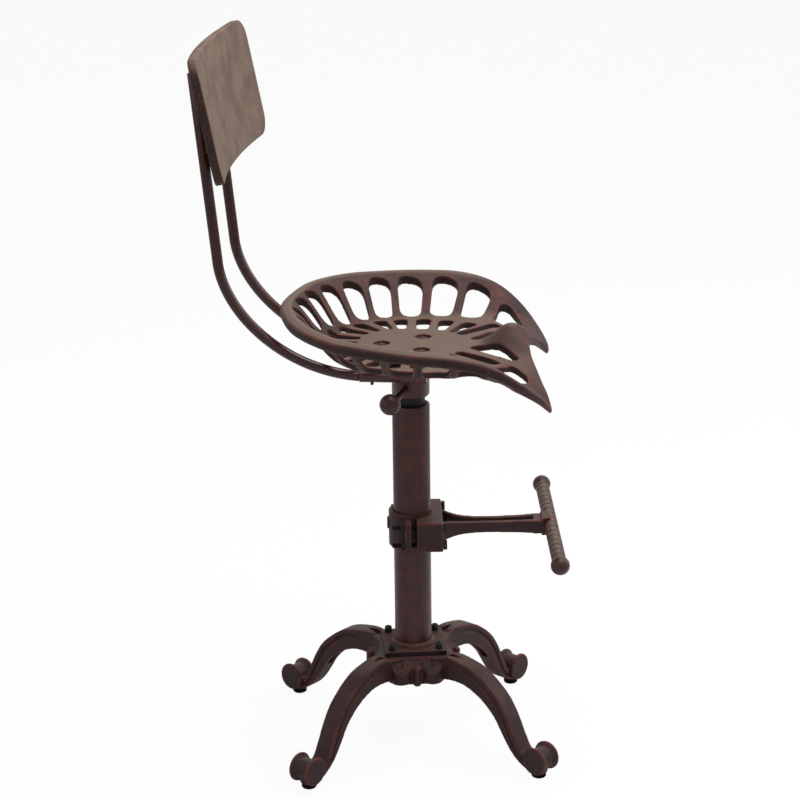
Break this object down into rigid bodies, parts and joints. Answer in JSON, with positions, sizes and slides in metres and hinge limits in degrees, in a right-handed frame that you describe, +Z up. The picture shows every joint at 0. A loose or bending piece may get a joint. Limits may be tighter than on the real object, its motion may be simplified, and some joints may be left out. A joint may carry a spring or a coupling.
{
  "type": "tractor seat stool with backrest",
  "caption": "Cast tractor-seat stool with perforated swivelling seat, curved backrest on two bent rods, screw column, clamped footrest bar and four scrolled legs.",
  "frame": {"origin": "middle of the footprint on the floor, so the column axis stands at about X 0.041, Y 0.003", "axes": "+Z up, +X the way the sitter faces, +Y to the sitter's left"},
  "size_m": [0.536, 0.4894, 1.0762],
  "materials": {
    "bronze_cast_iron": "dark antique bronze paint rubbed reddish on the edges",
    "bronze_paint": "dark antique bronze paint rubbed reddish on the edges",
    "black_steel": "black oxide",
    "rubber": "matt"
  },
  "bodies": {
    "base": {"base_casting": "bronze_cast_iron", "foot_pad_1": "rubber", "foot_pad_2": "rubber", "foot_pad_3": "rubber", "foot_pad_4": "rubber", "foot_plate": "bronze_paint", "plate_screw_1": "black_steel", "plate_screw_2": "black_steel", "plate_screw_3": "black_steel", "plate_screw_4": "black_steel", "column_tube": "bronze_paint", "column_weld": "bronze_paint", "column_nut": "black_steel"},
    "screw": {"spindle": "black_steel", "spindle_stop": "black_steel", "thrust_washer": "black_steel"},
    "seat": {"seat_collar": "bronze_paint", "seat_casting": "bronze_cast_iron", "seat_screw_1": "black_steel", "seat_screw_2": "black_steel", "seat_screw_3": "black_steel", "seat_nut_1": "black_steel", "seat_nut_2": "black_steel", "seat_nut_3": "black_steel", "bracket_plate": "bronze_paint", "rod_socket_left": "bronze_paint", "rod_socket_right": "bronze_paint", "socket_screw_left": "black_steel", "socket_screw_right": "black_steel", "back_rod_left": "bronze_paint", "back_rod_right": "bronze_paint", "back_standoff_left": "bronze_paint", "back_standoff_right": "bronze_paint", "back_plate": "bronze_paint"},
    "knob": {"knob_screw": "bronze_paint", "knob_ball": "bronze_paint"},
    "footrest": {"clamp_band": "bronze_paint", "footrest_arm": "bronze_cast_iron", "crossbar": "bronze_paint", "crossbar_ball_left": "bronze_paint", "crossbar_ball_right": "bronze_paint", "clamp_bolt_1": "black_steel", "clamp_bolt_2": "black_steel", "clamp_bolt_3": "black_steel", "clamp_bolt_4": "black_steel", "clamp_nut_1": "black_steel", "clamp_nut_2": "black_steel", "clamp_nut_3": "black_steel", "clamp_nut_4": "black_steel"}
  },
  "joints": [
    {"name": "seat_lift", "type": "slide", "parent": "base", "child": "screw", "axis": [0, 0, 1], "range_m": [0, 0.15]},
    {"name": "seat_swivel", "type": "hinge", "parent": "screw", "child": "seat", "pos_m": [0.04136, 0.00255, 0.598], "axis": [0, 0, 1], "continuous": true},
    {"name": "knob_turn", "type": "hinge", "parent": "seat", "child": "knob", "pos_m": [0.02282, -0.05451, 0.562], "axis": [-0.309, -0.9511, 0], "range_deg": [0, 720]},
    {"name": "footrest_height", "type": "slide", "parent": "base", "child": "footrest", "axis": [0, 0, 1], "range_m": [-0.14, 0.15]}
  ]
}
